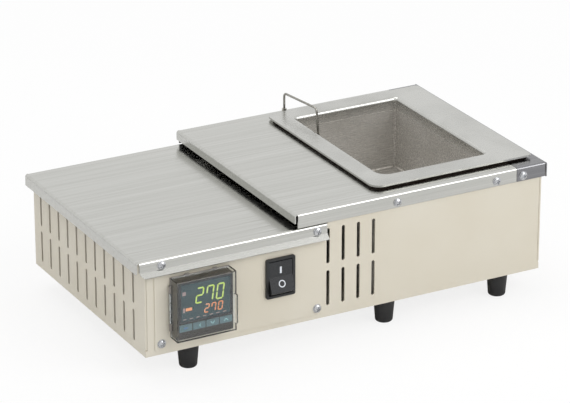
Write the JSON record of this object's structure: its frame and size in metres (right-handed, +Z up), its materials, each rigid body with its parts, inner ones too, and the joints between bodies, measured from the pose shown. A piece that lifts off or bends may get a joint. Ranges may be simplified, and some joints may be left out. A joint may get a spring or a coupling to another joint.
{
  "type": "solder pot",
  "caption": "Bench solder pot: rectangular stainless bath with a probe, stepped covers, vented case, temperature controller behind a clear cover, and a rocker switch.",
  "frame": {"origin": "under the middle of the whole object, on the plane that the feet stand on", "axes": "+X along the front from the control end to the bath end, +Y from the front to the back, +Z up"},
  "size_m": [0.362, 0.2167, 0.1279],
  "materials": {
    "cream_paint": "powder coated sheet steel",
    "divider_steel": "zinc plated sheet",
    "cover_steel": "brushed stainless sheet",
    "end_cover_steel": "brushed stainless sheet, darker",
    "bath_steel": "welded stainless, warm from heat",
    "gasket_fibre": "dark fibre gasket",
    "insulation_fibre": "pale ceramic fibre board",
    "heater_mica": "mica strip heaters in steel jackets",
    "clamp_steel": "mild steel plate",
    "probe_steel": "stainless sheath",
    "ferrule_steel": "nickel plated",
    "case_plastic": "dark moulded plastic",
    "window_plastic": "dark smoked window",
    "green_figures": "lit figures",
    "orange_figures": "lit figures",
    "blue_key": "soft rubber key",
    "grey_key": "soft rubber key",
    "clamp_plastic": "moulded plastic",
    "frame_plastic": "moulded plastic",
    "screw_steel": "zinc plated",
    "clear_plastic": "clear moulded plastic",
    "switch_plastic": "black moulded plastic",
    "rocker_plastic": "black moulded plastic",
    "mark_paint": "white print",
    "terminal_brass": "plain brass",
    "inlet_plastic": "black moulded plastic",
    "pin_nickel": "nickel plated",
    "relay_plastic": "moulded plastic",
    "heatsink_aluminium": "extruded, plain",
    "block_plastic": "moulded plastic",
    "foot_rubber": "moulded black rubber"
  },
  "bodies": {
    "case": {"chassis": "cream_paint", "control_panel": "cream_paint", "divider": "divider_steel", "lower_cover": "cover_steel", "upper_cover": "cover_steel", "end_cover": "end_cover_steel", "solder_bath": "bath_steel", "bath_gasket": "gasket_fibre", "insulation": "insulation_fibre", "heater_strips": "heater_mica", "heater_clamp_plate": "clamp_steel", "temperature_probe": "probe_steel", "probe_ferrule": "ferrule_steel", "controller_case": "case_plastic", "display_window": "window_plastic", "process_digits": "green_figures", "setpoint_digits": "orange_figures", "controller_clamp": "clamp_plastic", "cover_frame": "frame_plastic", "cover_hinge_pin": "screw_steel", "switch_housing": "switch_plastic", "switch_terminals": "terminal_brass", "power_inlet": "inlet_plastic", "inlet_pins": "pin_nickel", "relay": "relay_plastic", "relay_heatsink": "heatsink_aluminium", "terminal_block": "block_plastic", "fuse_holder": "relay_plastic", "gear_screws": "screw_steel", "rubber_feet": "foot_rubber", "foot_screws": "screw_steel", "foot_nuts": "screw_steel", "cover_screws": "screw_steel", "panel_screws": "screw_steel"},
    "rocker": {"switch_rocker": "rocker_plastic", "rocker_marks": "mark_paint"},
    "cover": {"clear_cover": "clear_plastic"},
    "key_1": {"key_function": "blue_key"},
    "key_2": {"key_shift": "grey_key"},
    "key_3": {"key_down": "grey_key"},
    "key_4": {"key_up": "grey_key"}
  },
  "joints": [
    {"name": "rocker_hinge", "type": "hinge", "parent": "case", "child": "rocker", "pos_m": [-0.0599, -0.09345, 0.0631], "axis": [1, 0, 0], "range_deg": [0, 23]},
    {"name": "cover_hinge", "type": "hinge", "parent": "case", "child": "cover", "pos_m": [-0.1539, -0.09745, 0.0575], "axis": [0, 0, -1], "range_deg": [0, 85]},
    {"name": "key_1_slide", "type": "slide", "parent": "case", "child": "key_1", "axis": [0, 1, 0], "range_m": [0, 0.0004], "stiffness_N_per_m": 400, "springref_m": -0.0005},
    {"name": "key_2_slide", "type": "slide", "parent": "case", "child": "key_2", "axis": [0, 1, 0], "range_m": [0, 0.0004], "stiffness_N_per_m": 400, "springref_m": -0.0005},
    {"name": "key_3_slide", "type": "slide", "parent": "case", "child": "key_3", "axis": [0, 1, 0], "range_m": [0, 0.0004], "stiffness_N_per_m": 400, "springref_m": -0.0005},
    {"name": "key_4_slide", "type": "slide", "parent": "case", "child": "key_4", "axis": [0, 1, 0], "range_m": [0, 0.0004], "stiffness_N_per_m": 400, "springref_m": -0.0005}
  ]
}
